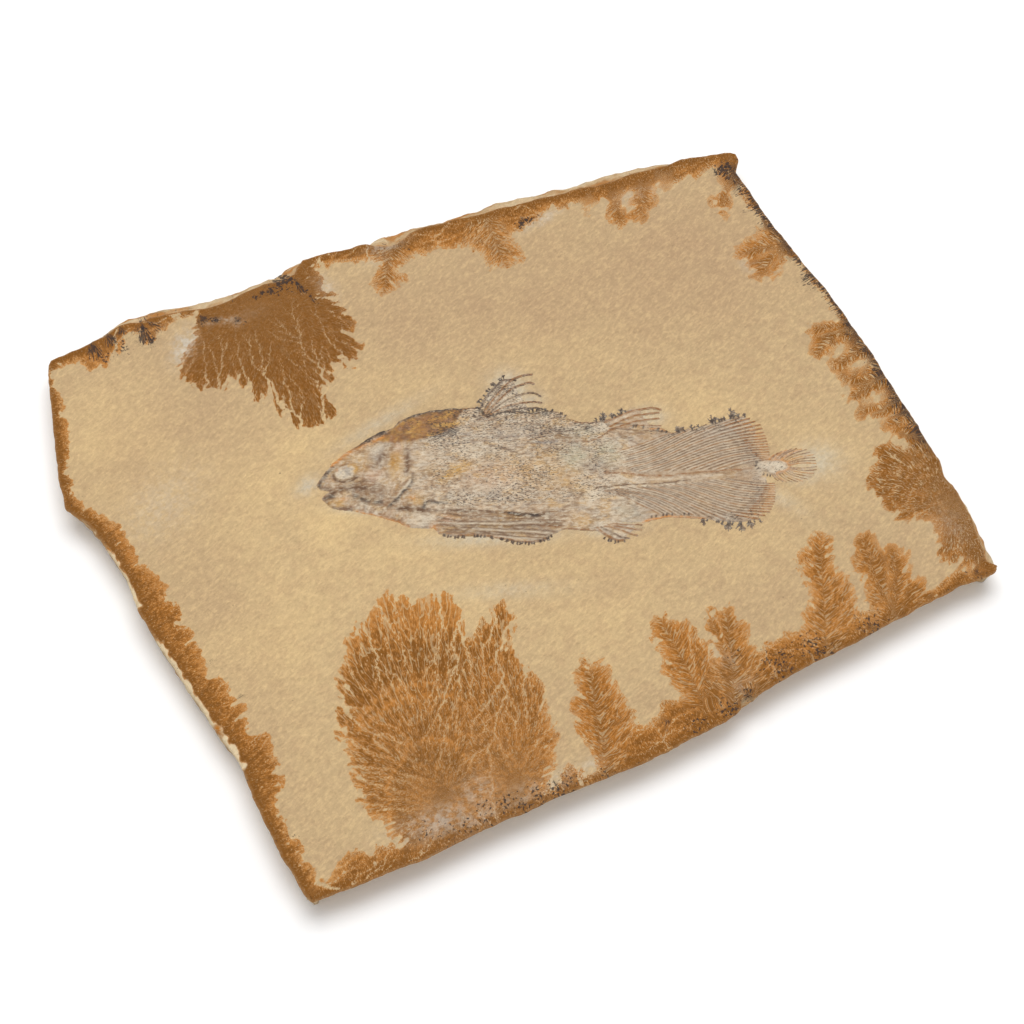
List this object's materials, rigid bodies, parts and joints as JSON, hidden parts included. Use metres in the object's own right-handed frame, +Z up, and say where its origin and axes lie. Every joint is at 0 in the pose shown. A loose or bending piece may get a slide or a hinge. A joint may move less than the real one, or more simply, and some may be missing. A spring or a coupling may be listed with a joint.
{
  "type": "fossil fish slab",
  "caption": "Broken, roughly square plate of limestone that lies flat, with a flattened coelacanth fish fossil standing in low relief on its upper face, for display or study.",
  "frame": {"origin": "centre of the bounding box's underside, on the plane of the slab's flat lower bed", "axes": "+X along the slab's longer edges, the way the fish's tail points; +Y towards the far edge, the fish's back side; +Z up out of the upper bed, the face with the fish"},
  "size_m": [0.4483, 0.3746, 0.0206],
  "materials": {
    "limestone": "matt buff limestone with rust-brown and black branching mineral stains",
    "fossil_bone": "matt to faintly satin beige-brown fossil bone and scale with black and orange specks"
  },
  "bodies": {
    "root": {"slab": "limestone", "fish": "fossil_bone"}
  },
  "joints": []
}
